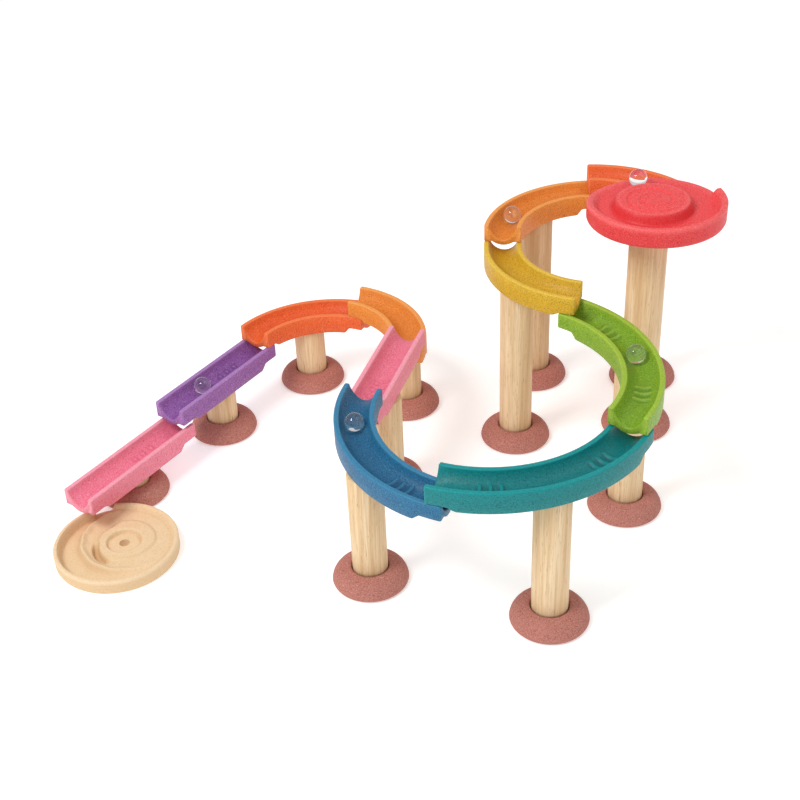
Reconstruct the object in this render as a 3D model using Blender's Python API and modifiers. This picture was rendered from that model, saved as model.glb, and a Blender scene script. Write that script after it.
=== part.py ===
"""Toy marble run: U-channel tracks stepping down on turned posts between two spiral discs."""
import bpy
import bmesh
import math
from mathutils import Matrix, Vector

# ---------------------------------------------------------------- driving dimensions (metres)
GAP = 0.0003                # clearance between pieces that touch
STEP = 0.0165               # drop from one track to the next
TRACK_W = 0.034             # track width
TRACK_H = 0.0195            # track height, underside to rim
RIM_W = 0.0045              # flat rim each side of the channel
CHANNEL_D = 0.0115          # channel depth
EDGE = 0.0008               # small edge round on the tracks
LOWEST = 0.0250             # underside of the last track above the table
LAST_STEP = 0.0210          # drop onto the last track
STRAIGHT_L = 0.1385
CURVES = {"small": (0.0865, 84.5), "large": (0.1225, 87.0), "straight": (0.0, 0.0)}  # radius, turn
INLET_RISE = 0.0057         # wall bottoms lifted at the inlet end
INLET_RUN = 0.020
TONGUE_HALF = 0.0072        # half width of the belly that stays low under the outlet
TONGUE_EXTRA = 0.002
POST_R = 0.015
START_POST_R = 0.017
BASE_R = 0.0325
BASE_H = 0.0155
PEG_R = 0.006
PEG_H = 0.003
MARBLE_R = 0.008
MARBLE_LIFT = 0.0005
START_DISC_R = 0.060
START_DISC_H = 0.0175
START_DISC_Z = 0.2185
START_DISC_DX = -0.0201     # peg of the start disc from the first track's middle
START_DISC_DY = -0.0829
START_DISC_OFF = (0.0053, 0.0030)   # middle of the start disc from its peg
PLATEAU_OFF = (-0.0028, 0.0015)     # middle of its raised part from the disc's middle
END_DISC_R = 0.0552
END_DISC_H = 0.013
END_DISC_REACH = 0.0027     # disc centre beyond the last track's outlet end, along the run
END_DISC_SIDE = 0.0430      # and to the left of the run
START_X = 0.25635           # middle of the first track
START_Y = 0.15473
START_HEADING = 131.8       # degrees, the way a marble runs

# name, kind, turn side (+1 left, -1 right), colour, post shift along and across,
# overlap onto the next track and kink to it in degrees
TRACKS = [
    ("red_orange_curve_1", "small", 1, (0.90, 0.25, 0.06), -0.0025, 0.0, 0.0085, -2.0),
    ("light_orange_curve_1", "small", 1, (0.93, 0.40, 0.08), -0.0035, 0.0, 0.0095, -2.0),
    ("yellow_curve", "small", 1, (0.80, 0.52, 0.03), -0.0025, 0.0, 0.0090, -18.5),
    ("green_curve", "large", -1, (0.30, 0.50, 0.05), -0.0035, 0.0, 0.0120, 7.0),
    ("teal_curve", "large", -1, (0.01, 0.28, 0.28), -0.0005, 0.0, 0.0135, 0.5),
    ("blue_curve", "large", -1, (0.04, 0.20, 0.42), -0.0050, 0.004, 0.0125, 2.5),
    ("pink_straight_1", "straight", 1, (0.90, 0.28, 0.38), -0.0180, -0.005, 0.0120, 0.0),
    ("light_orange_curve_2", "small", 1, (0.93, 0.40, 0.08), -0.0080, 0.0, 0.0150, -5.0),
    ("red_orange_curve_2", "small", 1, (0.90, 0.25, 0.06), 0.0, 0.0, 0.0110, -1.0),
    ("purple_straight", "straight", 1, (0.26, 0.11, 0.42), -0.0005, 0.0, 0.0140, 0.0),
    ("pink_straight_2", "straight", 1, (0.90, 0.28, 0.38), -0.0020, -0.005, 0.0130, 0.0),
]
# marbles on tracks: name, track index, travel past the track's middle
MARBLES = [
    ("marble_light_orange", 1, 0.0335),
    ("marble_green", 3, 0.0002),
    ("marble_blue", 5, 0.0427),
    ("marble_purple", 9, 0.0216),
]
START_MARBLE_ANGLE = 100.0
START_MARBLE_R = 0.0448
END_HUB = (0.0066, 0.0035)  # small hole of the end disc from its middle
END_NOTCH_ANGLE = 107.0     # where the rim of the end disc is open to the last track
WOOD = (0.77, 0.55, 0.30)
CLAY = (0.50, 0.20, 0.15)
PALE = (0.84, 0.62, 0.36)
RED = (0.82, 0.05, 0.05)


# ---------------------------------------------------------------- layout
class Track:
    """One track's place in the run: pose of any point on its centre line."""

    def __init__(self, row, inlet, heading, under):
        self.name, self.kind, self.side, self.colour = row[:4]
        self.shift, self.across, self.overlap, self.kink = row[4:]
        self.under = under
        self.radius, turn = CURVES[self.kind]
        self.length = self.radius * math.radians(turn) if self.radius else STRAIGHT_L
        self.inlet = Vector(inlet)
        self.heading = heading
        left = Vector((-math.sin(heading), math.cos(heading)))
        self.centre = self.inlet + left * self.side * self.radius

    def at(self, s):
        """Point and heading at distance s from the inlet end."""
        if not self.radius:
            ahead = Vector((math.cos(self.heading), math.sin(self.heading)))
            return self.inlet + ahead * s, self.heading
        a = self.heading + self.side * s / self.radius
        out = Vector((math.sin(a), -math.cos(a))) * self.side
        return self.centre + out * self.radius, a

    def place(self, s, across, z):
        """World position of a section point."""
        p, a = self.at(s)
        q = p + Vector((-math.sin(a), math.cos(a))) * across
        return Vector((q.x, q.y, z))

    def post_xy(self):
        """Where the post stands under the track."""
        p = self.place(self.length / 2, 0.0, 0.0)
        a = self.at(self.length / 2)[1]
        ahead = Vector((math.cos(a), math.sin(a), 0.0))
        left = Vector((-math.sin(a), math.cos(a), 0.0))
        return p + ahead * self.shift + left * self.across


def inlet_from_middle(kind, side, x, y, heading):
    """Inlet end and heading of a track from its middle pose."""
    radius, turn = CURVES[kind]
    back = math.radians(turn) / 2
    left = Vector((-math.sin(heading), math.cos(heading)))
    centre = Vector((x, y)) + left * side * radius
    a = heading - side * back
    return centre + Vector((math.sin(a), -math.cos(a))) * side * radius, a


def lay_out():
    """All tracks, each starting under the outlet of the one before."""
    row = TRACKS[0]
    inlet, heading = inlet_from_middle(row[1], row[2], START_X, START_Y, math.radians(START_HEADING))
    tracks = []
    last = len(TRACKS) - 1
    for i, row in enumerate(TRACKS):
        under = LOWEST if i == last else LOWEST + LAST_STEP + STEP * (last - 1 - i)
        track = Track(row, inlet, heading, under)
        tracks.append(track)
        end, a = track.at(track.length)
        inlet = end - Vector((math.cos(a), math.sin(a))) * track.overlap
        heading = a + math.radians(track.kink)
    return tracks


# ---------------------------------------------------------------- helpers
def clear_scene():
    """Empty the file."""
    for obj in list(bpy.data.objects):
        bpy.data.objects.remove(obj, do_unlink=True)


def collection(name):
    """A new collection linked to the scene."""
    col = bpy.data.collections.new(name)
    bpy.context.scene.collection.children.link(col)
    return col


def material(name, colour, rough, glass=False):
    """A Principled material."""
    mat = bpy.data.materials.new(name)
    mat.use_nodes = True
    bsdf = mat.node_tree.nodes["Principled BSDF"]
    bsdf.inputs["Base Color"].default_value = (*colour, 1.0)
    bsdf.inputs["Roughness"].default_value = rough
    if glass:
        bsdf.inputs["Transmission Weight"].default_value = 1.0
        bsdf.inputs["IOR"].default_value = 1.5
    return mat


def add_object(name, mesh, col, mat, smooth=True):
    """Link a mesh object."""
    obj = bpy.data.objects.new(name, mesh)
    col.objects.link(obj)
    obj.data.materials.append(mat)
    for poly in mesh.polygons:
        poly.use_smooth = smooth
    return obj


def mesh_from(name, verts, faces):
    """A mesh with outward normals."""
    mesh = bpy.data.meshes.new(name)
    bm = bmesh.new()
    made = [bm.verts.new(v) for v in verts]
    for face in faces:
        bm.faces.new([made[k] for k in face])
    bmesh.ops.recalc_face_normals(bm, faces=bm.faces)
    bm.to_mesh(mesh)
    bm.free()
    return mesh


def turned(name, profile, steps, col, mat, at, closed=False):
    """A solid turned about Z from (radius, height) points that run down the outside."""
    mesh = bpy.data.meshes.new(name)
    bm = bmesh.new()
    made = [bm.verts.new((r, 0.0, z)) for r, z in profile]
    for a, b in zip(made[:-1], made[1:]):
        bm.edges.new((a, b))
    if closed:
        bm.edges.new((made[-1], made[0]))
    bm.to_mesh(mesh)
    bm.free()
    obj = add_object(name, mesh, col, mat)
    screw = obj.modifiers.new("Turn", "SCREW")
    screw.axis = "Z"
    screw.angle = 2 * math.pi
    screw.steps = steps
    screw.render_steps = steps
    screw.use_merge_vertices = True
    screw.merge_threshold = 0.00001
    screw.use_smooth_shade = True
    obj.location = at
    return obj


def cylinder_cutter(name, radius, z0, z1, at, col, segments=20):
    """A hidden cutter standing on Z."""
    mesh = bpy.data.meshes.new(name)
    bm = bmesh.new()
    bmesh.ops.create_cone(bm, cap_ends=True, segments=segments, radius1=radius, radius2=radius,
                          depth=z1 - z0, matrix=Matrix.Translation((0, 0, (z0 + z1) / 2)))
    bm.to_mesh(mesh)
    bm.free()
    return hide_cutter(name, mesh, at, col)


def hide_cutter(name, mesh, at, col):
    """Register a mesh as a cutter."""
    obj = bpy.data.objects.new(name, mesh)
    col.objects.link(obj)
    obj.location = at
    obj.display_type = "WIRE"
    obj.hide_render = True
    return obj


def cut(obj, tool):
    """Subtract a cutter."""
    mod = obj.modifiers.new("Cut_" + tool.name, "BOOLEAN")
    mod.operation = "DIFFERENCE"
    mod.solver = "EXACT"
    mod.object = tool


def smoothstep(t):
    """Ease between 0 and 1."""
    t = min(1.0, max(0.0, t))
    return t * t * (3 - 2 * t)


# ---------------------------------------------------------------- tracks
def track_section(side_z, belly_z):
    """Closed section (across, height) with wall bottoms at side_z and belly at belly_z."""
    half = TRACK_W / 2
    inner = half - RIM_W
    top = TRACK_H
    floor = TRACK_H - CHANNEL_D
    right = [(half - EDGE, side_z), (half, side_z + EDGE), (half, top - EDGE), (half - EDGE, top),
             (inner + EDGE, top)]
    channel = []
    for k in range(9):
        a = math.pi * k / 8
        channel.append((inner * math.cos(a), top - EDGE - (top - EDGE - floor) * math.sin(a)))
    left = [(-x, z) for x, z in reversed(right)]
    drop = side_z - belly_z
    under = [(-TONGUE_HALF, side_z), (-TONGUE_HALF * 0.72, belly_z + 0.22 * drop),
             (-TONGUE_HALF * 0.30, belly_z), (TONGUE_HALF * 0.30, belly_z),
             (TONGUE_HALF * 0.72, belly_z + 0.22 * drop), (TONGUE_HALF, side_z)]
    return right + channel + left + under


def outlet_rise():
    """Height the wall bottoms need to clear the rim of the next track."""
    return TRACK_H - STEP + GAP


def under_heights(track, s):
    """Wall-bottom height and belly height at distance s from the inlet."""
    relief = track.overlap + TONGUE_EXTRA
    to_end = track.length - s
    inlet = INLET_RISE * (1 - smoothstep(s / INLET_RUN))
    outlet = outlet_rise() * (1 - smoothstep((to_end - relief) / 0.008))
    belly = 0.0008 * (1 - smoothstep(s / 0.010))
    return max(inlet, outlet), belly


def stations(track):
    """Distances along a track at which sections are laid."""
    relief = track.overlap + TONGUE_EXTRA
    ends = [0.0, 0.005, 0.010, 0.015, INLET_RUN]
    outs = [track.length - relief - 0.008, track.length - relief - 0.004, track.length - relief,
            track.length]
    count = {"small": 5, "large": 8, "straight": 2}[track.kind]
    lo, hi = ends[-1], outs[0]
    middle = [lo + (hi - lo) * k / count for k in range(1, count)]
    return ends + middle + outs


def make_track(track, col, cutters):
    """Loft one track and cut its peg socket."""
    pivot = track.post_xy()
    pivot.z = track.under
    verts = []
    faces = []
    places = stations(track)
    n = 0
    for s in places:
        section = track_section(*under_heights(track, s))
        n = len(section)
        for across, z in section:
            verts.append(track.place(s, across, track.under + z) - pivot)
    for i in range(len(places) - 1):
        for k in range(n):
            m = (k + 1) % n
            faces.append((i * n + k, i * n + m, (i + 1) * n + m, (i + 1) * n + k))
    faces.append(list(range(n)))
    faces.append([(len(places) - 1) * n + k for k in reversed(range(n))])
    mat = material("mat_" + track.name, track.colour, 0.55)
    obj = add_object(track.name, mesh_from(track.name, verts, faces), col, mat)
    obj.location = pivot
    socket = cylinder_cutter("cut_socket_" + track.name, PEG_R + GAP, -0.002, PEG_H + GAP, pivot, cutters)
    cut(obj, socket)
    return obj


# ---------------------------------------------------------------- posts, bases, marbles
def make_post(name, radius, height, at, col, mat):
    """Turned post with a locating peg on top."""
    bevel = 0.0008
    top = height - GAP
    profile = [(0.0, top + PEG_H), (PEG_R, top + PEG_H), (PEG_R, top), (radius - bevel, top),
               (radius, top - bevel), (radius, 0.0), (0.0, 0.0)]
    return turned(name, profile, 20, col, mat, (at.x, at.y, 0.0))


def make_base(name, bore, at, col, mat):
    """Domed ring foot with a flat underside, highest beside the post."""
    h = BASE_H
    profile = [(bore, h - 0.0008), (bore + 0.0010, h), (bore + 0.0050, h - 0.0006),
               (BASE_R - 0.0070, h - 0.0026), (BASE_R - 0.0034, h - 0.0053), (BASE_R - 0.0010, h - 0.0085),
               (BASE_R, h - 0.0112), (BASE_R - 0.0008, 0.0018), (BASE_R - 0.0028, 0.0), (bore, 0.0)]
    return turned(name, profile, 20, col, mat, (at.x, at.y, 0.0), closed=True)


def make_marble(name, at, col, mat):
    """Glass ball."""
    mesh = bpy.data.meshes.new(name)
    bm = bmesh.new()
    bmesh.ops.create_uvsphere(bm, u_segments=14, v_segments=8, radius=MARBLE_R)
    bm.to_mesh(mesh)
    bm.free()
    obj = add_object(name, mesh, col, mat)
    obj.location = at
    return obj


# ---------------------------------------------------------------- discs
def start_disc_axis(tracks):
    """Peg the start disc turns on."""
    p = tracks[0].place(tracks[0].length / 2, 0.0, 0.0)
    return Vector((p.x + START_DISC_DX, p.y + START_DISC_DY, START_DISC_Z))


def start_disc_centre(tracks):
    """Middle of the start disc, a little off its peg."""
    p = start_disc_axis(tracks)
    return p + Vector((*START_DISC_OFF, 0.0))


def box_cutter(name, size, at, angle, col, lift=0.0):
    """A hidden box cutter turned about Z."""
    mesh = bpy.data.meshes.new(name)
    bm = bmesh.new()
    bmesh.ops.create_cube(bm, size=1.0)
    bmesh.ops.scale(bm, verts=bm.verts, vec=size)
    bmesh.ops.translate(bm, verts=bm.verts, vec=(0, 0, lift))
    bm.to_mesh(mesh)
    bm.free()
    obj = hide_cutter(name, mesh, at, col)
    obj.rotation_euler = (0, 0, angle)
    return obj


def start_rim(angle):
    """Rim height of the start disc by angle in degrees: low at the back, a lip beside the outlet."""
    h = START_DISC_H
    low = h - 0.0086
    if angle < 12.0:
        return h
    if angle < 18.0:
        return h + (low - h) * smoothstep((angle - 12.0) / 6.0)
    if angle < 118.0:
        return low
    if angle < 205.0:
        return low + (h - low) * smoothstep((angle - 118.0) / 87.0)
    return h


def make_start_disc(tracks, col, cutters):
    """Dish with a raised middle, a channel round it, a rim low at the back and a socket below."""
    axis = start_disc_axis(tracks)
    r, h = START_DISC_R, START_DISC_H
    off = Vector(START_DISC_OFF)
    middle = Vector(PLATEAU_OFF)
    # radius, share of the plateau's offset, height (from the rim's own height on rings 4 to 7)
    rings = [(0.0290, 1.0, h - 0.0015), (0.0345, 1.0, h - 0.0088), (0.0430, 0.4, h - 0.0095),
             (0.0500, 0.0, h - 0.0092), (0.0545, 0.0, -0.0006), (0.0562, 0.0, 0.0),
             (r - 0.0014, 0.0, 0.0), (r, 0.0, -0.0015), (r, 0.0, 0.0026), (r - 0.0022, 0.0, 0.0)]
    steps = 48
    verts = [(off.x + middle.x, off.y + middle.y, h - 0.0015)]
    for i, (radius, share, z) in enumerate(rings):
        for k in range(steps):
            a = 2 * math.pi * k / steps
            x = off.x + middle.x * share + radius * math.cos(a)
            y = off.y + middle.y * share + radius * math.sin(a)
            height = start_rim(math.degrees(a)) + z if 4 <= i <= 7 else z
            verts.append((x, y, height))
    verts.append((off.x, off.y, 0.0))
    faces = []
    for k in range(steps):
        m = (k + 1) % steps
        faces.append((0, 1 + k, 1 + m))
        for i in range(len(rings) - 1):
            a, b = 1 + i * steps, 1 + (i + 1) * steps
            faces.append((a + k, b + k, b + m, a + m))
        last = 1 + (len(rings) - 1) * steps
        faces.append((last + k, len(verts) - 1, last + m))
    mat = material("mat_start_disc", RED, 0.5)
    obj = add_object("start_disc", mesh_from("start_disc", verts, faces), col, mat)
    obj.location = axis
    cut(obj, cylinder_cutter("cut_start_socket", PEG_R + GAP, -0.002, PEG_H + GAP, axis, cutters))
    return obj, axis


def end_disc_place(tracks):
    """Centre of the end disc and the heading the last track meets it with."""
    last = tracks[-1]
    p = last.place(last.length + END_DISC_REACH, END_DISC_SIDE, 0.0)
    return p, last.heading


def make_end_disc(tracks, col, cutters):
    """Catch dish on the table: rim, bowl, centre ring with a hole, deep pocket, inlet gap."""
    centre, heading = end_disc_place(tracks)
    r, h = END_DISC_R, END_DISC_H
    profile = [(0.0, 0.0062), (0.030, 0.0062), (r - 0.0115, 0.0058), (r - 0.0080, h - 0.0030),
               (r - 0.0060, h), (r - 0.0016, h), (r, h - 0.0018), (r, 0.0022), (r - 0.0018, 0.0),
               (0.0, 0.0)]
    mat = material("mat_end_disc", PALE, 0.6)
    obj = turned("end_disc", profile, 40, col, mat, centre)
    hub = centre + Vector((*END_HUB, 0.0))
    cut(obj, cylinder_cutter("cut_end_hole", 0.00475, -0.002, 0.02, hub, cutters, 16))
    ring = ring_cutter("cut_end_ring", 0.0095, 0.0150, 0.0045, 0.02, hub, cutters)
    cut(obj, ring)
    notch = math.radians(END_NOTCH_ANGLE)
    back = centre + Vector((math.cos(notch), math.sin(notch), 0)) * (r - 0.003)
    tool = box_cutter("cut_end_inlet", (0.026, TRACK_W + 0.0005, 0.02), back, heading, cutters, 0.0192)
    cut(obj, tool)
    return obj, centre


def ring_cutter(name, r0, r1, z0, z1, at, col, segments=24):
    """A hidden ring cutter."""
    verts = []
    faces = []
    profile = [(r0, z0), (r1, z0), (r1, z1), (r0, z1)]
    for i in range(segments):
        a = 2 * math.pi * i / segments
        for r, z in profile:
            verts.append((r * math.cos(a), r * math.sin(a), z))
    for i in range(segments):
        j = (i + 1) % segments
        for k in range(4):
            m = (k + 1) % 4
            faces.append((i * 4 + k, i * 4 + m, j * 4 + m, j * 4 + k))
    return hide_cutter(name, mesh_from(name, verts, faces), at, col)


# ---------------------------------------------------------------- build
def build():
    """Make every piece."""
    clear_scene()
    parts = collection("marble_run")
    cutters = collection("cutters")
    cutters.hide_render = True
    tracks = lay_out()
    for track in tracks:
        make_track(track, parts, cutters)
        at = track.post_xy()
        wood = material("mat_post_" + track.name, WOOD, 0.55)
        clay = material("mat_base_" + track.name, CLAY, 0.75)
        make_post("post_" + track.name, POST_R, track.under, at, parts, wood)
        make_base("base_" + track.name, POST_R + GAP, at, parts, clay)
    disc, axis = make_start_disc(tracks, parts, cutters)
    make_post("post_start_disc", START_POST_R, START_DISC_Z, axis, parts,
              material("mat_post_start_disc", WOOD, 0.55))
    make_base("base_start_disc", START_POST_R + GAP, axis, parts,
              material("mat_base_start_disc", CLAY, 0.75))
    make_end_disc(tracks, parts, cutters)
    rest = TRACK_H - CHANNEL_D + MARBLE_R + MARBLE_LIFT
    for name, index, past in MARBLES:
        track = tracks[index]
        at = track.place(track.length / 2 + past, 0.0, track.under + rest)
        make_marble(name, at, parts, material("mat_" + name, (0.9, 0.95, 0.95), 0.02, True))
    a = math.radians(START_MARBLE_ANGLE)
    at = start_disc_centre(tracks) + Vector((math.cos(a), math.sin(a), 0)) * START_MARBLE_R
    at.z = START_DISC_Z + START_DISC_H - 0.0088 + MARBLE_R
    make_marble("marble_start_disc", at, parts, material("mat_marble_start", (0.9, 0.95, 0.95), 0.02, True))


build()
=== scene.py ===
import bpy
import bmesh
import math
from mathutils import Matrix, Vector


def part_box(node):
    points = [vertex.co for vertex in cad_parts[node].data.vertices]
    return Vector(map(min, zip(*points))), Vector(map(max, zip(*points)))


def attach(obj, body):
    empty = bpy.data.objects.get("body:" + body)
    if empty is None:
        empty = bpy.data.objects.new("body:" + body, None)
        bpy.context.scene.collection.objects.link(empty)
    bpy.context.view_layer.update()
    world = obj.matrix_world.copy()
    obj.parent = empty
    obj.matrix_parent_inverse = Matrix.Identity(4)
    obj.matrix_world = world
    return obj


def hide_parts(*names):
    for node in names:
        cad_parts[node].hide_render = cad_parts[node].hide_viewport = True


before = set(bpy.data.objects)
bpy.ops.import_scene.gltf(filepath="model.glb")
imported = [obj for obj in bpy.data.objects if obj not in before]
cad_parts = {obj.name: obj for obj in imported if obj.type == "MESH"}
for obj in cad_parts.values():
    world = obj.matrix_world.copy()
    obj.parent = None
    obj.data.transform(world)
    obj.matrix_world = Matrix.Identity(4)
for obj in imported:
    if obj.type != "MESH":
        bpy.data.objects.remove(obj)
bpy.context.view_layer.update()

# ---------------------------------------------------------------- sizes shared with the CAD (metres)
STEP = 0.0165               # drop from one track to the next
TRACK_W = 0.034
TRACK_H = 0.0195
RIM_W = 0.0045
CHANNEL_D = 0.0115
LOWEST = 0.0250             # underside of the last track
LAST_STEP = 0.0210          # drop to the last track
STRAIGHT_L = 0.1385
CURVES = {"small": (0.0865, 84.5), "large": (0.1225, 87.0), "straight": (0.0, 0.0)}
INLET_RISE = 0.0057         # how far the walls are cut away below an inlet
GAP = 0.0003                # play between nested or plugged pieces
START_X = 0.25635           # middle of the first track
START_Y = 0.15473
START_HEADING = 131.8
POST_R = 0.015
START_POST_R = 0.017
PEG_R = 0.006
PEG_H = 0.003
BASE_R = 0.0325
BASE_H = 0.0155
BASE_PLAY = 0.0006          # dark ring between a post and its foot
MARBLE_R = 0.008
START_R, START_H, START_Z = 0.060, 0.0175, 0.2185
END_R, END_H = 0.0552, 0.013
SKIN = 0.0001               # feet and discs stay this far inside their CAD solid

# name, kind, side, overlap, kink, colour key
TRACKS = [
    ("red_orange_curve_1", "small", 1, 0.0085, -2.0, "red_orange"),
    ("light_orange_curve_1", "small", 1, 0.0095, -2.0, "light_orange"),
    ("yellow_curve", "small", 1, 0.0090, -18.5, "yellow"),
    ("green_curve", "large", -1, 0.0120, 7.0, "green"),
    ("teal_curve", "large", -1, 0.0135, 0.5, "teal"),
    ("blue_curve", "large", -1, 0.0125, 2.5, "blue"),
    ("pink_straight_1", "straight", 1, 0.0120, 0.0, "pink"),
    ("light_orange_curve_2", "small", 1, 0.0150, -5.0, "light_orange"),
    ("red_orange_curve_2", "small", 1, 0.0110, -1.0, "red_orange"),
    ("purple_straight", "straight", 1, 0.0140, 0.0, "purple"),
    ("pink_straight_2", "straight", 1, 0.0130, 0.0, "pink"),
]

# colour key: main, dark (flecks and painted shade), light (flecks, worn edges and painted highlight),
# all linear
COLOURS = {
    "red": ((0.90, 0.072, 0.076), (0.60, 0.010, 0.016), (0.98, 0.30, 0.29)),
    "red_orange": ((0.84, 0.125, 0.020), (0.54, 0.045, 0.005), (0.98, 0.34, 0.13)),
    "light_orange": ((0.82, 0.255, 0.026), (0.50, 0.105, 0.006), (0.98, 0.52, 0.17)),
    "yellow": ((0.68, 0.400, 0.012), (0.34, 0.165, 0.004), (0.92, 0.70, 0.12)),
    "green": ((0.225, 0.410, 0.016), (0.075, 0.180, 0.006), (0.55, 0.72, 0.10)),
    "teal": ((0.000, 0.215, 0.225), (0.000, 0.085, 0.095), (0.005, 0.40, 0.40)),
    "blue": ((0.014, 0.140, 0.285), (0.004, 0.040, 0.105), (0.070, 0.33, 0.53)),
    "pink": ((0.850, 0.225, 0.320), (0.640, 0.080, 0.155), (0.98, 0.56, 0.62)),
    "purple": ((0.300, 0.105, 0.390), (0.105, 0.022, 0.140), (0.60, 0.38, 0.70)),
    "clay": ((0.480, 0.180, 0.140), (0.260, 0.070, 0.050), (0.72, 0.40, 0.34)),
    "pale": ((0.800, 0.590, 0.360), (0.600, 0.380, 0.190), (0.93, 0.77, 0.56)),
}
# roughness and fleck strength
DYED_FINISH = (0.44, 1.0)
OTHER_FINISH = {"clay": (0.78, 1.0), "pale": (0.66, 0.55)}


# ---------------------------------------------------------------- layout, as in the CAD
class Track:
    """Pose of any point along one track."""

    def __init__(self, row, inlet, heading, under):
        self.name, self.kind, self.side, self.overlap, self.kink, self.colour = row
        self.under = under
        self.radius, turn = CURVES[self.kind]
        self.length = self.radius * math.radians(turn) if self.radius else STRAIGHT_L
        self.inlet = Vector(inlet)
        self.heading = heading
        left = Vector((-math.sin(heading), math.cos(heading)))
        self.centre = self.inlet + left * self.side * self.radius

    def at(self, s):
        """Point and heading at distance s."""
        if not self.radius:
            ahead = Vector((math.cos(self.heading), math.sin(self.heading)))
            return self.inlet + ahead * s, self.heading
        a = self.heading + self.side * s / self.radius
        out = Vector((math.sin(a), -math.cos(a))) * self.side
        return self.centre + out * self.radius, a

    def place(self, s, across, z):
        """Point in space for distance, offset to the left and height."""
        p, a = self.at(s)
        return Vector((p.x - math.sin(a) * across, p.y + math.cos(a) * across, self.under + z))


def lay_out():
    """Every track, each starting under the outlet of the one before."""
    radius, turn = CURVES[TRACKS[0][1]]
    mid = math.radians(START_HEADING)
    left = Vector((-math.sin(mid), math.cos(mid)))
    centre = Vector((START_X, START_Y)) + left * radius
    heading = mid - math.radians(turn) / 2
    inlet = centre + Vector((math.sin(heading), -math.cos(heading))) * radius
    last = len(TRACKS) - 1
    found = []
    for i, row in enumerate(TRACKS):
        under = LOWEST if i == last else LOWEST + LAST_STEP + STEP * (last - 1 - i)
        track = Track(row, inlet, heading, under)
        found.append(track)
        end, a = track.at(track.length)
        inlet = end - Vector((math.cos(a), math.sin(a))) * track.overlap
        heading = a + math.radians(track.kink)
    return found


def middle(node_name):
    """Middle of a CAD node, seen from above."""
    lo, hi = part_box(node_name)
    return Vector(((lo[0] + hi[0]) / 2, (lo[1] + hi[1]) / 2))


# ---------------------------------------------------------------- materials
def node(tree, kind, x, y, **values):
    """Add a shader node."""
    n = tree.nodes.new(kind)
    n.location = (x, y)
    for key, value in values.items():
        if key in n.inputs:
            n.inputs[key].default_value = value
        else:
            setattr(n, key, value)
    return n


def ramp(tree, source, stops, y):
    """Colour ramp fed by a value."""
    n = node(tree, "ShaderNodeValToRGB", -500, y)
    ends = n.color_ramp.elements
    ends[0].position, ends[0].color = stops[0][0], (*stops[0][1], 1)
    ends[1].position, ends[1].color = stops[-1][0], (*stops[-1][1], 1)
    for place, colour in stops[1:-1]:
        ends.new(place).color = (*colour, 1)
    tree.links.new(source, n.inputs["Fac"])
    return n.outputs["Color"]


def fade(tree, source, first, last, y):
    """Grey ramp between two (place, value) stops."""
    stops = [(place, (value, value, value)) for place, value in (first, last)]
    return ramp(tree, source, stops, y)


def mix(tree, fac, a, b):
    """Mix two colours, each a socket or a tuple, by a factor socket."""
    n = tree.nodes.new("ShaderNodeMix")
    n.data_type = "RGBA"
    tree.links.new(fac, n.inputs[0])
    for value, slot in ((a, n.inputs[6]), (b, n.inputs[7])):
        if hasattr(value, "is_output"):
            tree.links.new(value, slot)
        else:
            slot.default_value = (*value, 1)
    return n.outputs[2]


def noise(tree, coords, scale, detail, rough, stretch=None):
    """Noise value at a size given by scale (per metre)."""
    if stretch:
        m = tree.nodes.new("ShaderNodeMapping")
        m.inputs["Scale"].default_value = stretch
        tree.links.new(coords, m.inputs["Vector"])
        coords = m.outputs["Vector"]
    n = node(tree, "ShaderNodeTexNoise", -700, 0, Scale=scale, Detail=detail, Roughness=rough)
    tree.links.new(coords, n.inputs["Vector"])
    return n.outputs["Fac"]


def attribute(tree, name):
    """Value of a point attribute of the mesh."""
    n = tree.nodes.new("ShaderNodeAttribute")
    n.attribute_name = name
    return n.outputs["Fac"]


def shader(name):
    """Empty Principled material and its parts."""
    mat = bpy.data.materials.new(name)
    mat.use_nodes = True
    tree = mat.node_tree
    bsdf = tree.nodes["Principled BSDF"]
    coords = tree.nodes.new("ShaderNodeTexCoord").outputs["Object"]
    return mat, tree, bsdf, coords


def bump(tree, bsdf, heights, strength, distance):
    """Feed the sum of two heights to the normal."""
    total = node(tree, "ShaderNodeMath", -350, -400, operation="ADD")
    for height, slot in zip(heights, total.inputs):
        tree.links.new(height, slot)
    b = node(tree, "ShaderNodeBump", -200, -400, Strength=strength, Distance=distance)
    tree.links.new(total.outputs[0], b.inputs["Height"])
    tree.links.new(b.outputs["Normal"], bsdf.inputs["Normal"])


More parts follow.
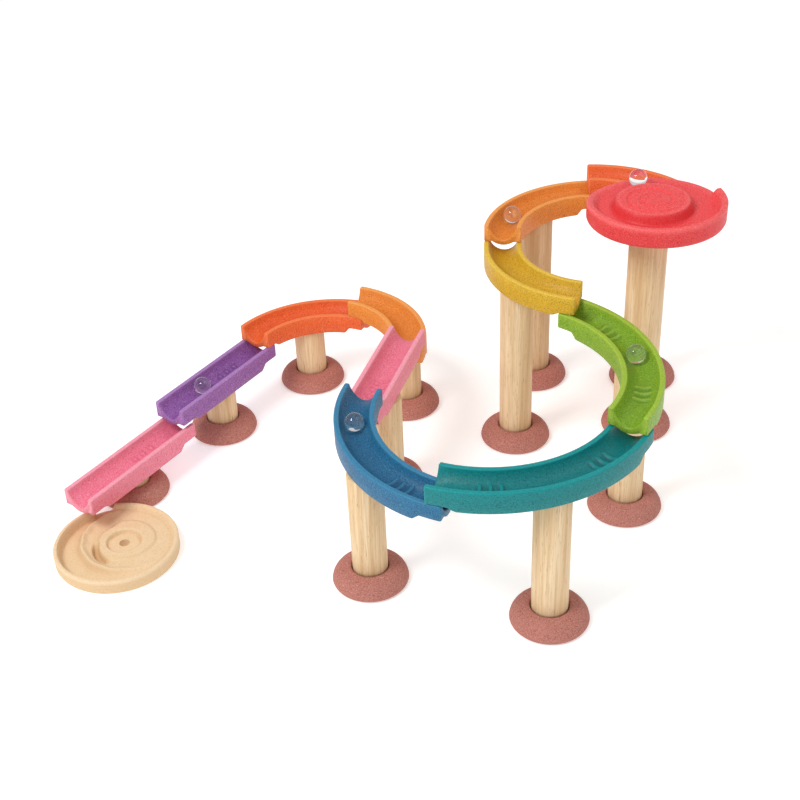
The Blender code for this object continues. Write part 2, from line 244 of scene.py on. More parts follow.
def composite(key, rough, speck):
    """Dyed pressed-sawdust composite: cloudy dye, dark and light flecks, worn edges with painted
    highlight, painted shade in channels and hollows.
    """
    main, dark, light = COLOURS[key]
    mat, tree, bsdf, co = shader("composite_" + key)
    cloud = noise(tree, co, scale=90.0, detail=4.0, rough=0.6)
    fine = noise(tree, co, scale=1500.0, detail=2.0, rough=0.7)
    grit = noise(tree, co, scale=820.0, detail=3.0, rough=0.75)
    fibre = noise(tree, co, scale=900.0, detail=2.0, rough=0.5, stretch=(1.0, 0.45, 1.0))
    shade = fade(tree, cloud, (0.30, 0.0), (0.72, 1.0), 300)
    cloudy = tuple(m * 0.86 + d * 0.14 for m, d in zip(main, dark))
    col = mix(tree, shade, cloudy, main)
    flecks = fade(tree, grit, (0.38, 0.85 * speck), (0.50, 0.0), 0)
    col = mix(tree, flecks, col, dark)
    sparks = fade(tree, fine, (0.57, 0.0), (0.72, 0.75 * speck), -200)
    col = mix(tree, sparks, col, light)
    wisps = fade(tree, fibre, (0.60, 0.0), (0.72, 0.5 * speck), -300)
    col = mix(tree, wisps, col, light)
    # lighter colour from the edge weight: worn edges and painted highlight on tops, corners and rib tops
    wear_and_highlight = fade(tree, attribute(tree, "edge"), (0.0, 0.0), (1.0, 0.36), -500)
    col = mix(tree, wear_and_highlight, col, light)
    # painted shade: darker colour in channels, hollows and on disc walls, from the deep weight
    painted_shade = fade(tree, attribute(tree, "deep"), (0.0, 0.0), (1.0, 0.85), -600)
    col = mix(tree, painted_shade, col, dark)
    tree.links.new(col, bsdf.inputs["Base Color"])
    roughness = fade(tree, grit, (0.3, rough + 0.12), (0.7, rough - 0.06), -700)
    tree.links.new(roughness, bsdf.inputs["Roughness"])
    bsdf.inputs["Specular IOR Level"].default_value = 0.32
    bump(tree, bsdf, (grit, fine), strength=0.30, distance=0.00020)
    return mat


def post_wood(seed):
    """Sanded pale rubberwood: upright bands, fine grain and short pores."""
    mat, tree, bsdf, co = shader("rubberwood_%02d" % seed)
    shift = tree.nodes.new("ShaderNodeMapping")
    shift.inputs["Location"].default_value = (0.37 * seed, 0.61 * seed, 0.13 * seed)
    shift.inputs["Rotation"].default_value = (0.02, -0.015, 0.7 * seed)
    tree.links.new(co, shift.inputs["Vector"])
    co = shift.outputs["Vector"]
    bands = noise(tree, co, scale=1.0, detail=3.0, rough=0.55, stretch=(150.0, 150.0, 4.0))
    grain = noise(tree, co, scale=1.0, detail=3.0, rough=0.6, stretch=(900.0, 900.0, 16.0))
    pores = noise(tree, co, scale=1.0, detail=2.0, rough=0.5, stretch=(1500.0, 1500.0, 90.0))
    tones = [(0.30, (0.66, 0.43, 0.215)), (0.50, (0.78, 0.565, 0.325)), (0.70, (0.86, 0.67, 0.43))]
    col = ramp(tree, bands, tones, 300)
    lines = fade(tree, grain, (0.34, 0.52), (0.55, 0.0), 100)
    col = mix(tree, lines, col, (0.55, 0.34, 0.16))
    specks = fade(tree, pores, (0.29, 0.65), (0.37, 0.0), -100)
    col = mix(tree, specks, col, (0.36, 0.20, 0.09))
    tree.links.new(col, bsdf.inputs["Base Color"])
    roughness = fade(tree, grain, (0.3, 0.60), (0.7, 0.46), -300)
    tree.links.new(roughness, bsdf.inputs["Roughness"])
    bsdf.inputs["Specular IOR Level"].default_value = 0.4
    bump(tree, bsdf, (grain, pores), strength=0.22, distance=0.00018)
    return mat


def glass():
    """Clear glass with a breath of surface smudge."""
    mat, tree, bsdf, co = shader("clear_marble_glass")
    smudge = noise(tree, co, scale=60.0, detail=1.0, rough=0.4)
    roughness = fade(tree, smudge, (0.45, 0.0), (0.80, 0.010), 0)
    tree.links.new(roughness, bsdf.inputs["Roughness"])
    tint = ramp(tree, smudge, [(0.3, (0.96, 0.985, 0.99)), (0.7, (1.0, 1.0, 1.0))], 200)
    tree.links.new(tint, bsdf.inputs["Base Color"])
    bsdf.inputs["Transmission Weight"].default_value = 1.0
    bsdf.inputs["IOR"].default_value = 1.5
    return mat


def floor_material():
    """Plain pale floor."""
    mat, tree, bsdf, co = shader("plain_floor")
    soft = noise(tree, co, scale=3.0, detail=2.0, rough=0.5)
    col = fade(tree, soft, (0.3, 0.93), (0.7, 0.95), 0)
    tree.links.new(col, bsdf.inputs["Base Color"])
    bsdf.inputs["Roughness"].default_value = 0.9
    bsdf.inputs["Specular IOR Level"].default_value = 0.1
    bsdf.inputs["Emission Color"].default_value = (1.0, 1.0, 1.0, 1.0)
    bsdf.inputs["Emission Strength"].default_value = 0.34
    return mat


# ---------------------------------------------------------------- mesh helpers
def link(name, data):
    """Object in the scene for a mesh, light or camera."""
    obj = bpy.data.objects.new(name, data)
    bpy.context.scene.collection.objects.link(obj)
    return obj


def make_object(name, verts, faces, mat, edge=None, deep=None, sharp=42.0):
    """Mesh object with outward normals, smooth shading and sharp creases."""
    mesh = bpy.data.meshes.new(name)
    mesh.from_pydata([tuple(v) for v in verts], [], faces)
    bm = bmesh.new()
    bm.from_mesh(mesh)
    bmesh.ops.recalc_face_normals(bm, faces=bm.faces)
    bm.to_mesh(mesh)
    bm.free()
    for key, values in (("edge", edge), ("deep", deep)):
        if values:
            attr = mesh.attributes.new(key, "FLOAT", "POINT")
            attr.data.foreach_set("value", values)
    for p in mesh.polygons:
        p.use_smooth = True
    mesh.set_sharp_from_angle(angle=math.radians(sharp))
    mesh.materials.append(mat)
    return link(name, mesh)


class Shell:
    """Mesh built ring by ring, each with n points and joined to the one before."""

    def __init__(self, n):
        self.n = n
        self.verts, self.faces, self.edge, self.deep = [], [], [], []

    def join(self, first, second):
        """Quads between the rings that start at two vertices."""
        for k in range(self.n):
            m = (k + 1) % self.n
            self.faces.append((first + k, first + m, second + m, second + k))

    def ring(self, points, edge, deep):
        """Add a ring, with its worn-edge and painted-highlight weight and its painted shade at each
        point.
        """
        start = len(self.verts)
        self.verts.extend(points)
        self.edge.extend(edge)
        self.deep.extend(deep)
        if start:
            self.join(start - self.n, start)

    def plain_ring(self, points, edge, deep):
        """Add a ring with one worn-edge and painted-highlight weight and one painted shade."""
        self.ring(points, [edge] * self.n, [deep] * self.n)

    def cap_first(self):
        """Close the first ring with one face."""
        self.faces.append(tuple(range(self.n)))

    def cap_last(self):
        """Close the last ring with one face."""
        start = len(self.verts) - self.n
        self.faces.append(tuple(start + k for k in reversed(range(self.n))))

    def join_ends(self):
        """Join the last ring to the first."""
        self.join(len(self.verts) - self.n, 0)


def install(obj, node_name, body):
    """Put a piece in place of a CAD node: parent it to its body's empty and hide the node."""
    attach(obj, body)
    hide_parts(node_name)


def smoothstep(t):
    """0 below 0, 1 above 1, eased between."""
    t = min(1.0, max(0.0, t))
    return t * t * (3 - 2 * t)


def beyond(value, start, width):
    """0 up to start, easing to 1 over width."""
    return smoothstep((value - start) / width)


def within(value, limit, width):
    """1 up to limit, easing to 0 over width."""
    return 1 - beyond(value, limit, width)


def bell(t, w):
    """1 at zero, falling away over w."""
    return math.exp(-(t / w) ** 2)


# ---------------------------------------------------------------- tracks
HALF = TRACK_W / 2
INNER = HALF - RIM_W
FLOOR = TRACK_H - CHANNEL_D
ROUND = 0.0011              # rounding of the rims
LOW_EASE = 0.0009           # rounding of a wall's lower edge
LOW_MID = 0.0003
CHANNEL_STEPS = 20
CHANNEL_POWER = 1.25        # above 1, the channel's walls lean out
BELLY_STEPS = 10
# weights of the lighter edge colour: partly worn edges, partly painted highlight on rim tops and corners
WEAR_AND_HIGHLIGHT_LOW, WEAR_AND_HIGHLIGHT_MID, WEAR_AND_HIGHLIGHT_TOP, WEAR_AND_HIGHLIGHT_CORNER = 0.1, 0.3, 0.75, 0.9
WEAR_AND_HIGHLIGHT_IN_CHANNEL = (0.8, 0.5, 0.2)
WEAR_AND_HIGHLIGHT_END = 0.6

BELLY_HALF = 0.0098         # half width of the hanging belly
BELLY_HALF_YELLOW = 0.0085
BELLY_RISE = 0.0008
END_SLOPES = ((0.0, 0.0010), (0.0003, 0.00045), (0.0009, 0.00012))      # distance from an end, inset
FIRST_PLACE = 0.0016
PLACE_PITCH = 0.0026

RIBS = (0.0365, 0.0450, 0.0535)     # rib distances from each end of a large curve
RIB_H, RIB_TOP, RIB_SLOPE, RIB_REACH = 0.0015, 0.0009, 0.0014, 0.006
RIB_HALF, RIB_FADE, RIB_SHIFT = 0.0058, 0.0014, 0.0005
RIB_PLACE_PITCH = 0.0006
BUMP_FIRST, BUMP_PITCH, BUMP_STAGGER, BUMP_SIDE = 0.036, 0.0105, 0.0045, 0.0036
BUMP_H, BUMP_W = 0.0011, 0.0016
DIP_D, DIP_AT, DIP_W = 0.0005, 0.0028, 0.0008
BUMP_PLACES_FROM, BUMP_PLACE_PITCH, BUMP_PLACES = 0.032, 0.0008, 45
SHADE_AT, SHADE_W = 0.0026, 0.0010  # painted shade line beside a rib or bump
RIB_SHADE, BUMP_SHADE = 0.55, 0.6
SPOUT_L, SPOUT_D = 0.014, 0.0030    # the channel runs down at the outlet
MOUTH_L, MOUTH_SHADE = 0.030, 0.25  # painted shade: the channel is darker near the inlet, under the track above
# painted shade over the whole channel, most at its floor
CHANNEL_SHADE = 0.30
LIFT_HIGHLIGHT = 500                     # painted highlight for each metre that a rib or bump stands up
LEAST_CHANNEL = 0.2                 # ribs and bumps lie only where the channel weight is above this


def section(side_z, belly_z, belly_half):
    """Closed section as (across, height, worn-edge and painted-highlight weight, channel weight)."""
    right = [(HALF - LOW_EASE, side_z, WEAR_AND_HIGHLIGHT_LOW, 0), (HALF - LOW_MID, side_z + LOW_MID, WEAR_AND_HIGHLIGHT_MID, 0),
             (HALF, side_z + LOW_EASE, WEAR_AND_HIGHLIGHT_LOW, 0), (HALF, (side_z + TRACK_H) / 2, 0, 0),
             (HALF, TRACK_H - ROUND, WEAR_AND_HIGHLIGHT_MID, 0)]
    for degrees in (30, 60, 90):
        a = math.radians(degrees)
        right.append((HALF - ROUND * (1 - math.cos(a)), TRACK_H - ROUND * (1 - math.sin(a)),
                      WEAR_AND_HIGHLIGHT_CORNER, 0))
    right.append(((HALF + INNER) / 2, TRACK_H, WEAR_AND_HIGHLIGHT_TOP, 0))
    for degrees in (90, 120, 150):
        a = math.radians(degrees)
        right.append((INNER + ROUND * (1 + math.cos(a)), TRACK_H - ROUND * (1 - math.sin(a)),
                      WEAR_AND_HIGHLIGHT_CORNER, 0))
    channel = []
    top = TRACK_H - ROUND
    for k in range(CHANNEL_STEPS + 1):
        a = math.pi * k / CHANNEL_STEPS
        from_rim = min(k, CHANNEL_STEPS - k)
        wear_and_highlight = WEAR_AND_HIGHLIGHT_IN_CHANNEL[from_rim] if from_rim < len(WEAR_AND_HIGHLIGHT_IN_CHANNEL) else 0.0
        z = top - (top - FLOOR) * math.sin(a) ** CHANNEL_POWER
        channel.append((INNER * math.cos(a), z, wear_and_highlight, math.sin(a) ** 3))
    left = [(-x, z, e, c) for x, z, e, c in reversed(right)]
    under = []
    for k in range(BELLY_STEPS + 1):
        u = -belly_half + 2 * belly_half * k / BELLY_STEPS
        under.append((u, belly_z + (side_z - belly_z) * min(1.0, (u / belly_half) ** 2), 0, 0))
    return right + channel + left + under


def under_heights(track, s):
    """Wall-bottom and belly heights at distance s."""
    relief = track.overlap + 0.002
    inlet = INLET_RISE * within(s, 0.016, 0.007)
    outlet = (TRACK_H - STEP + GAP) * within(track.length - s, relief, 0.006)
    belly = BELLY_RISE * within(s, 0.010, 0.010)
    return max(inlet, outlet), belly


def channel_detail(track, s, u):
    """Lift and shade of the ribs on the large curves and the small bumps on the straights."""
    z = painted_line_shade = 0.0
    if track.kind == "large":
        for end in (s, track.length - s):
            for place in RIBS:
                d = abs(end - place)
                if d < RIB_REACH:
                    wide = within(abs(u + RIB_SHIFT * track.side), RIB_HALF, RIB_FADE)
                    z += RIB_H * within(d, RIB_TOP, RIB_SLOPE) * wide
                    painted_line_shade = max(painted_line_shade, RIB_SHADE * bell(d - SHADE_AT, SHADE_W) * wide)
    if track.kind == "straight":
        for k in range(3):
            for row, side in ((0, BUMP_SIDE), (1, -BUMP_SIDE)):
                place = BUMP_FIRST + BUMP_PITCH * k + BUMP_STAGGER * row
                d = math.hypot(s - place, u - side)
                z += BUMP_H * bell(d, BUMP_W) - DIP_D * bell(d - DIP_AT, DIP_W)
                painted_line_shade = max(painted_line_shade, BUMP_SHADE * bell(d - SHADE_AT, SHADE_W))
    return z, painted_line_shade


def inset(points, amount):
    """Move a closed section inwards by amount."""
    n = len(points)
    out = []
    for i in range(n):
        ax, az = points[i - 1][:2]
        bx, bz = points[(i + 1) % n][:2]
        tx, tz = bx - ax, bz - az
        size = math.hypot(tx, tz) or 1.0
        # end faces get the lighter edge colour: worn edge and painted highlight
        out.append((points[i][0] - tz / size * amount, points[i][1] + tx / size * amount,
                    max(points[i][2], WEAR_AND_HIGHLIGHT_END), points[i][3]))
    return out


def cut_socket(obj, at, under):
    """Blind hole in the underside for the post's peg."""
    mesh = bpy.data.meshes.new("socket")
    bm = bmesh.new()
    bmesh.ops.create_cone(bm, cap_ends=True, segments=48, radius1=PEG_R + GAP, radius2=PEG_R + GAP,
                          depth=2 * (PEG_H + GAP), matrix=Matrix.Translation((at.x, at.y, under)))
    bm.to_mesh(mesh)
    bm.free()
    tool = link("socket", mesh)
    mod = obj.modifiers.new("socket", "BOOLEAN")
    mod.operation = "DIFFERENCE"
    mod.solver = "EXACT"
    mod.object = tool
    depsgraph = bpy.context.evaluated_depsgraph_get()
    obj.data = bpy.data.meshes.new_from_object(obj.evaluated_get(depsgraph))
    obj.modifiers.clear()
    bpy.data.objects.remove(tool, do_unlink=True)


def places_along(track):
    """Distances of a track's sections, each with its inset; closer where the channel has detail."""
    close = []
    if track.kind == "large":
        close = [end + k * RIB_PLACE_PITCH for p in RIBS for end in (p, track.length - p)
                 for k in range(-5, 6)]
    if track.kind == "straight":
        close = [BUMP_PLACES_FROM + BUMP_PLACE_PITCH * k for k in range(BUMP_PLACES)]
    count = round(track.length / PLACE_PITCH)
    span = track.length - 2 * FIRST_PLACE
    even = [FIRST_PLACE + span * k / count for k in range(count + 1)]
    even = [v for v in even if all(abs(v - c) > 0.0008 for c in close)]
    return (list(END_SLOPES) + [(v, 0.0) for v in sorted(even + close)]
            + [(track.length - s, e) for s, e in reversed(END_SLOPES)])


def track_piece(track, mat):
    """Detailed channel track."""
    belly_half = BELLY_HALF_YELLOW if track.colour == "yellow" else BELLY_HALF
    shell = Shell(len(section(0, 0, belly_half)))
    for s, shrink in places_along(track):
        outline = section(*under_heights(track, s), belly_half)
        if shrink:
            outline = inset(outline, shrink)
        points, edge, deep = [], [], []
        for u, z, e, c in outline:
            lift, painted_line_shade = channel_detail(track, s, u) if c > LEAST_CHANNEL else (0.0, 0.0)
            lift -= SPOUT_D * c * beyond(s, track.length - SPOUT_L, SPOUT_L)
            points.append(track.place(s, u, z + lift))
            # rib and bump tops get painted highlight
            edge.append(min(1.0, e + max(0.0, lift) * LIFT_HIGHLIGHT))
            # painted shade: channel, lines beside ribs and bumps, and the inlet under the track above
            inlet_shade = MOUTH_SHADE * c * within(s, 0.0, MOUTH_L)
            deep.append(min(1.0, CHANNEL_SHADE * c + painted_line_shade + inlet_shade))
        shell.ring(points, edge, deep)
    shell.cap_first()
    shell.cap_last()
    obj = make_object("track_" + track.name, shell.verts, shell.faces, mat, shell.edge, shell.deep)
    cut_socket(obj, middle("post_" + track.name), track.under)
    install(obj, track.name, track.name)


# ---------------------------------------------------------------- turned pieces
def turned_piece(name, profile, steps, at, mat, closed=False, wobble=0.0, seed=0):
    """Turned mesh from (radius, height, edge) points; a zero radius closes to a point."""
    verts, faces, edge = [], [], []
    rings = []
    for r, z, e in profile:
        ring = []
        for k in range(steps if r else 1):
            a = 2 * math.pi * k / steps
            rr = r * (1 + wobble * math.sin(2 * a + seed) + 0.6 * wobble * math.sin(3 * a + 2 * seed))
            ring.append(len(verts))
            verts.append((at.x + rr * math.cos(a), at.y + rr * math.sin(a), z))
            edge.append(e)
        rings.append(ring)
    pairs = list(zip(rings[:-1], rings[1:]))
    if closed:
        pairs.append((rings[-1], rings[0]))
    for a, b in pairs:
        for k in range(steps):
            m = (k + 1) % steps
            if len(a) == 1:
                faces.append((a[0], b[m], b[k]))
            elif len(b) == 1:
                faces.append((a[k], a[m], b[0]))
            else:
                faces.append((a[k], a[m], b[m], b[k]))
    return make_object(name, verts, faces, mat, edge, sharp=50.0)


def post_piece(node_name, r, at, mat):
    """Post with eased ends and a peg."""
    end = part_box(node_name)[1][2]
    top = end - PEG_H
    profile = [(0, end), (PEG_R, end), (PEG_R, top), (r - 0.0012, top), (r - 0.0004, top - 0.0004),
               (r, top - 0.0012), (r, top / 2), (r, 0.0012), (r - 0.0006, 0.0002), (r - 0.0015, 0.0),
               (0, 0.0)]
    profile = [(x, z, 0) for x, z in profile]
    obj = turned_piece("turned_" + node_name, profile, 72, at, mat)
    install(obj, node_name, "stands")


def base_piece(node_name, at, post_r, mat, seed):
    """Domed ring foot: highest beside the post, soft outer edge, flat underside."""
    b, r, h = post_r + BASE_PLAY, BASE_R - SKIN, BASE_H
    profile = [(b + 0.0008, 0.0), (b, 0.0008), (b, h - 0.0018), (b + 0.0002, h - 0.0010),
               (b + 0.0007, h - 0.0003), (b + 0.0016, h), (b + 0.0034, h - 0.0002),
               (b + 0.0055, h - 0.0008), (r - 0.0086, h - 0.0014), (r - 0.0066, h - 0.0023),
               (r - 0.0048, h - 0.0036), (r - 0.0032, h - 0.0052), (r - 0.0018, h - 0.0072),
               (r - 0.0007, h - 0.0095), (r - 0.0001, h - 0.0120), (r, 0.0028), (r - 0.0004, 0.0016),
               (r - 0.0012, 0.0006), (r - 0.0026, 0.0)]
    profile = [(x, z, 0.15) for x, z in profile]
    obj = turned_piece("foot_" + node_name, profile, 72, at, mat, closed=True, wobble=0.0004, seed=seed)
    install(obj, node_name, "stands")


def marble_piece(node_name, mat):
    """Glass marble."""
    lo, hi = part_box(node_name)
    height = (lo[2] + hi[2]) / 2
    bands = 32
    profile = [(0, height + MARBLE_R, 0)]
    for k in range(1, bands):
        a = math.pi * k / bands
        profile.append((MARBLE_R * math.sin(a), MARBLE_R * math.cos(a) + height, 0))
    profile.append((0, height - MARBLE_R, 0))
    obj = turned_piece("glass_" + node_name, profile, 64, middle(node_name), mat)
    install(obj, node_name, node_name)


# ---------------------------------------------------------------- discs
DISC_STEPS = 240
DISC_EASE = 0.0014          # rounding of a disc's upper edge
DISC_LOW_EDGE = ((0.0, 0.0016), (0.0005, 0.0005), (0.0016, 0.0))        # inset, height
# painted shade on a disc's side wall, bore and socket
DISC_WALL_SHADE = 0.35


def between(angle, table):
    """Smooth closed interpolation of (degrees, value) pairs."""
    angle %= 360
    n = len(table)
    for i in range(n):
        a0, v0 = table[i]
        a1, v1 = table[(i + 1) % n]
        a1 += 360 if i == n - 1 else 0
        a = angle + 360 if angle < table[0][0] and i == n - 1 else angle
        if a0 <= a <= a1:
            return v0 + (v1 - v0) * smoothstep((a - a0) / (a1 - a0))
    return table[0][1]


def window(angle, lo, hi, soft):
    """1 inside lo..hi degrees, easing to 0 over soft degrees."""
    mid, half = (lo + hi) / 2, (hi - lo) / 2
    d = abs((angle - mid + 180) % 360 - 180)
    return 1 - smoothstep((d - half) / soft + 0.5)


def polar(x, y):
    """Distance and degrees of a point."""
    return math.hypot(x, y), math.degrees(math.atan2(y, x)) % 360


def disc_piece(name, centre, radius, under, hub, hub_r, surface, mat, rings, socket=None):
    """Disc whose top is a height field over rings round the hub, with a wall and a flat underside.

    The hub is a through hole, or, where a socket is given, it is closed and the underside gets a blind
    hole for a peg.
    """
    shell = Shell(DISC_STEPS)
    turns = [2 * math.pi * k / DISC_STEPS for k in range(DISC_STEPS)]
    for i in range(rings + 1):
        points, edge, deep = [], [], []
        for a in turns:
            ux, uy = math.cos(a), math.sin(a)
            b = hub[0] * ux + hub[1] * uy
            to_rim = -b + math.sqrt(b * b - hub[0] ** 2 - hub[1] ** 2 + radius ** 2)
            d = hub_r + (to_rim - hub_r) * (i / rings)
            x, y = hub[0] + ux * d, hub[1] + uy * d
            z, e, c = surface(x, y)
            past = math.hypot(x, y) - radius + DISC_EASE
            if past > 0:
                q = min(1.0, past / DISC_EASE)
                z -= DISC_EASE * (1 - math.sqrt(max(0.0, 1 - q * q)))
                # the eased upper edge gets the lighter colour: worn edge and painted highlight
                e = max(e, WEAR_AND_HIGHLIGHT_END)
            points.append((centre.x + x, centre.y + y, under + z))
            edge.append(e)
            deep.append(min(1.0, max(0.0, c)))
        shell.ring(points, edge, deep)
    tops = points

    wall_foot = under + DISC_LOW_EDGE[0][1]
    for f in (0.25, 0.55, 0.85):
        lower = [(x, y, z + (wall_foot - z) * f) for x, y, z in tops]
        shell.plain_ring(lower, 0.0, DISC_WALL_SHADE)
    for inset_r, z in DISC_LOW_EDGE:
        lower = []
        for v in tops:
            x, y = v[0] - centre.x, v[1] - centre.y
            g = (radius - inset_r) / math.hypot(x, y)
            lower.append((centre.x + x * g, centre.y + y * g, under + z))
        # the rounded lower edge is a little lighter, worn edge and painted highlight; the wall carries
        # painted shade
        shell.plain_ring(lower, 0.2 if z else 0.0, DISC_WALL_SHADE)
    if socket is None:
        bore = [(centre.x + hub[0] + hub_r * math.cos(a), centre.y + hub[1] + hub_r * math.sin(a), under)
                for a in turns]
        shell.plain_ring(bore, 0.0, DISC_WALL_SHADE)
        shell.join_ends()
    else:
        r = PEG_R + GAP
        for z in (0.0, PEG_H + GAP):
            hole = [(socket.x + r * math.cos(a), socket.y + r * math.sin(a), under + z) for a in turns]
            shell.plain_ring(hole, 0.0, DISC_WALL_SHADE)
        shell.cap_last()
        shell.cap_first()
    return make_object(name, shell.verts, shell.faces, mat, shell.edge, shell.deep, sharp=50.0)


PLATEAU_OFF = (-0.0028, 0.0015)     # raised part from the start disc's middle
START_RINGS = 110
START_LOW_RIM = START_H - 0.0086    # rim height at the back
START_FLOOR = START_H - 0.0094      # bottom of the channel
START_TOP = START_H - 0.0009        # the raised middle
LIP_END, LOW_RIM_END, FULL_RIM = 12.0, 118.0, 205.0     # degrees
SWIRL_IN, SWIRL_OUT, SWIRL_PITCH = 0.0070, 0.0240, 0.0105


def start_rim(angle):
    """Rim height by angle: a lip beside the outlet, low at the back, rising along the left."""
    if angle < LOW_RIM_END:
        return START_H + (START_LOW_RIM - START_H) * beyond(angle, LIP_END, 6.0)
    return START_LOW_RIM + (START_H - START_LOW_RIM) * beyond(angle, LOW_RIM_END, FULL_RIM - LOW_RIM_END)


def swirl(r, angle):
    """Height of the faint two-lap swirl on the raised middle."""
    z = 0.0
    turn = ((angle - 0.5) / (2 * math.pi)) % 1.0
    for lap in (0, 1):
        arm = SWIRL_IN + SWIRL_PITCH * (turn + lap)
        strength = beyond(arm, SWIRL_IN, 0.004) * within(arm, SWIRL_OUT, 0.004)
        z -= 0.0009 * bell(r - arm, 0.0012) * strength
        z += 0.0004 * bell(r - arm - 0.0022, 0.0014) * strength
    return z


def start_surface(x, y):
    """Top of the start disc: raised middle with a swirl, channel, rim and lip."""
    r, a = polar(x, y)
    px, py = x - PLATEAU_OFF[0], y - PLATEAU_OFF[1]
    pr = math.hypot(px, py)
    z = START_TOP + swirl(pr, math.atan2(py, px))
    step = beyond(pr, 0.0308, 0.0052)
    z = z * (1 - step) + START_FLOOR * step
    begin = 0.0480 + 0.0025 * window(a, -45, 12, 40.0)
    climb = smoothstep((r - begin) / (0.0560 - begin))
    shore = START_FLOOR + (start_rim(a) - START_FLOOR) * climb
    mixed = beyond(pr, 0.0330, 0.0050)
    z = z * (1 - mixed) + (shore if r > begin else z) * mixed
    # lighter plateau edge and rim: worn edges and painted highlight
    edge = 0.40 * bell(pr - 0.0300, 0.0016) + 0.30 * climb * within(r, 0.059, 0.001)
    # painted shade in the channel round the raised middle and on the low floor by the rim
    shade = 0.55 * beyond(pr, 0.0300, 0.0030) * within(pr, 0.0350, 0.0040)
    shade += 0.12 * within(z, START_FLOOR, 0.006) * within(r, 0.052, 0.004)
    return min(z, START_H), min(1.0, edge), shade


HUB = (0.0066, 0.0035)              # middle of the catch disc's ring
HOLE_R = 0.00475
END_RINGS = 84
END_SHELF = 0.0093
END_LEAST = 0.0026                  # least thickness
RECESS_R = 0.0142                   # recess inside the ring
# degrees and radius of the spiral crest, and of the ring's outer edge
CREST = [(20, 0.0500), (60, 0.0500), (100, 0.0475), (126, 0.0400), (147, 0.0357), (171, 0.0315),
         (208, 0.0285), (246, 0.0300), (280, 0.0345), (315, 0.0420), (350, 0.0490)]
RING = [(5, 0.0277), (90, 0.0287), (140, 0.0255), (192, 0.0222), (266, 0.0224), (320, 0.0250)]
SPIRAL_FADE = 222                   # degrees where the channel starts to run out
SPIRAL_END = 10


def spiral_depth(angle):
    """How deep the spiral channel is, 0 to 1, by angle."""
    depth = window(angle, 96, 232, 20.0)
    if SPIRAL_FADE < angle or angle < SPIRAL_END:
        past = (angle if angle > 90 else angle + 360) - SPIRAL_FADE
        depth = max(depth, 1 - smoothstep(past / 120))
    return depth


def end_surface(x, y):
    """Top of the catch disc: rim with an inlet, spiral channel and crest, ring, recess and pocket."""
    r, a = polar(x, y)
    hr, ha = polar(x - HUB[0], y - HUB[1])
    d = r - between(a, CREST)
    depth = spiral_depth(a)
    t = smoothstep((d + 0.0005) / 0.0075)
    z = END_SHELF - 0.0056 * depth * t
    z += 0.0013 * bell(d, 0.0026) * depth * within(d, 0.002, 0.004)
    inner = (1 - t) * depth * beyond(hr, 0.0220, 0.004)
    z -= 0.0020 * inner * (1 - bell(d, 0.0040))

    out = between(ha, RING)
    z += 0.0011 * beyond(hr, 0.0148, 0.0018) * within(hr, out - 0.0012, 0.0026)
    z -= 0.0017 * within(hr, RECESS_R, 0.0014)
    nick = max(window(ha, 95, 150, 30.0), window(ha, 5, 40, 30.0))
    z -= 0.0010 * bell(hr - RECESS_R, 0.0012) * nick
    pocket_r = 0.0246 + 0.0034 * smoothstep((ha - 165) / 85)
    pocket = window(ha, 182, 238, 26.0) * within(abs(hr - pocket_r), 0.0016, 0.0022)
    z -= 0.0056 * pocket

    rim = beyond(r, 0.0484, 0.0036)
    gap = window(a, 99, 119, 5.0)
    z = z * (1 - rim) + (END_H - 0.0068 * gap) * rim
    # lighter crest, ring edge and rim: worn edges and painted highlight
    edge = 0.30 * bell(d, 0.0018) * depth + 0.25 * bell(hr - 0.0168, 0.0014) + 0.3 * rim
    # painted shade: pocket, beside the crest, round the recess, inner channel, ring foot, rim line and
    # inlet gap
    shade = 0.95 * pocket + 0.42 * depth * bell(d - 0.0035, 0.0034) + 0.45 * bell(hr - RECESS_R, 0.0014)
    shade += 0.35 * inner * bell(hr - pocket_r, 0.0060) + 0.25 * bell(hr - out, 0.0016) * (1 - t)
    shade += 0.30 * bell(r - 0.0478, 0.0018) + 0.45 * gap * beyond(r, 0.030, 0.02) + 0.12 * depth * t
    return max(END_LEAST, z), min(1.0, edge), shade * (1 - 0.7 * rim)


# ---------------------------------------------------------------- build
mats = {key: composite(key, *OTHER_FINISH.get(key, DYED_FINISH)) for key in COLOURS}

tracks = lay_out()
for track in tracks:
    track_piece(track, mats[track.colour])

for i, name in enumerate(sorted(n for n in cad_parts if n.startswith("post_"))):
    post_r = START_POST_R if name == "post_start_disc" else POST_R
    post_piece(name, post_r, middle(name), post_wood(i + 1))
    base_piece(name.replace("post_", "base_"), middle(name), post_r, mats["clay"], i)

clear = glass()
for name in sorted(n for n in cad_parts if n.startswith("marble_")):
    marble_piece(name, clear)

disc = disc_piece("spiral_start_disc", middle("start_disc"), START_R - SKIN, START_Z, (0.0, 0.0), 0.0004,
                  start_surface, mats["red"], START_RINGS, socket=middle("post_start_disc"))
install(disc, "start_disc", "start_disc")
dish = disc_piece("spiral_catch_disc", middle("end_disc"), END_R - SKIN, 0.0, HUB, HOLE_R,
                  end_surface, mats["pale"], END_RINGS)
install(dish, "end_disc", "end_disc")

# ---------------------------------------------------------------- floor and light
FLOOR_HALF = 6.0
FLOOR_DROP = 0.0002
floor_mesh = bpy.data.meshes.new("floor")
corners = [(x * FLOOR_HALF, y * FLOOR_HALF, 0) for x, y in ((-1, -1), (1, -1), (1, 1), (-1, 1))]
floor_mesh.from_pydata(corners, [], [(0, 1, 2, 3)])
floor = link("floor", floor_mesh)
floor.location.z = -FLOOR_DROP
floor_mesh.materials.append(floor_material())

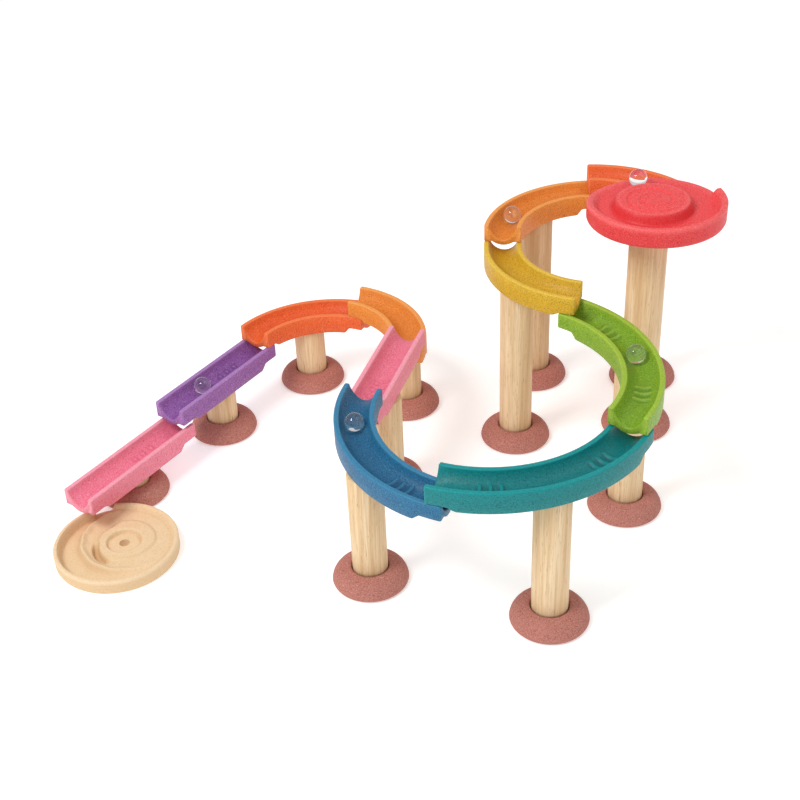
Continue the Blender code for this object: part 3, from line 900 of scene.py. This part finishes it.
world = bpy.data.worlds.new("studio")
bpy.context.scene.world = world
world.use_nodes = True
background = world.node_tree.nodes["Background"]
background.inputs["Color"].default_value = (1.0, 1.0, 1.0, 1.0)
background.inputs["Strength"].default_value = 0.62


def area_light(name, at, target, size, power):
    """Soft square light."""
    data = bpy.data.lights.new(name, "AREA")
    data.shape = "SQUARE"
    data.size = size
    data.energy = power
    obj = link(name, data)
    obj.location = at
    obj.rotation_mode = "QUATERNION"
    obj.rotation_quaternion = (Vector(target) - Vector(at)).to_track_quat("-Z", "Y")


area_light("key", at=(-0.85, -0.55, 1.45), target=(0, 0, 0.05), size=0.60, power=15.0)
area_light("fill", at=(0.9, -0.2, 1.5), target=(0, 0, 0.1), size=0.9, power=3.0)

# ---------------------------------------------------------------- camera, fitted to the photograph
SENSOR_MM, LENS_MM = 36.0, 63.036
SHIFT_X, SHIFT_Y = 0.06875, 0.054375
CAMERA_AT = (-0.01991, -1.02397, 0.7857)
PITCH, ROLL, YAW = math.radians(35.67), math.radians(-4.272), math.radians(1.193)

cam_data = bpy.data.cameras.new("camera")
cam_data.sensor_width = SENSOR_MM
cam_data.lens = LENS_MM
cam_data.shift_x = SHIFT_X
cam_data.shift_y = SHIFT_Y
cam_data.clip_start, cam_data.clip_end = 0.05, 20.0
cam = link("camera", cam_data)
ahead = Vector((0, math.cos(PITCH), -math.sin(PITCH)))
level = Vector((1, 0, 0))
above = level.cross(ahead)
right = level * math.cos(ROLL) + above * math.sin(ROLL)
upright = above * math.cos(ROLL) - level * math.sin(ROLL)
turned = Matrix.Rotation(YAW, 3, "Z") @ Matrix((right, upright, -ahead)).transposed()
cam.matrix_world = Matrix.Translation(CAMERA_AT) @ turned.to_4x4()
bpy.context.scene.camera = cam
bpy.context.scene.view_settings.view_transform = "Standard"

# the layout above has to agree with the CAD: each outlet lies in its node's box
SLACK = 0.002
for track in tracks:
    lo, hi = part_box(track.name)
    p = track.place(track.length, 0, 0)
    assert lo[0] - SLACK < p.x < hi[0] + SLACK and lo[1] - SLACK < p.y < hi[1] + SLACK, track.name
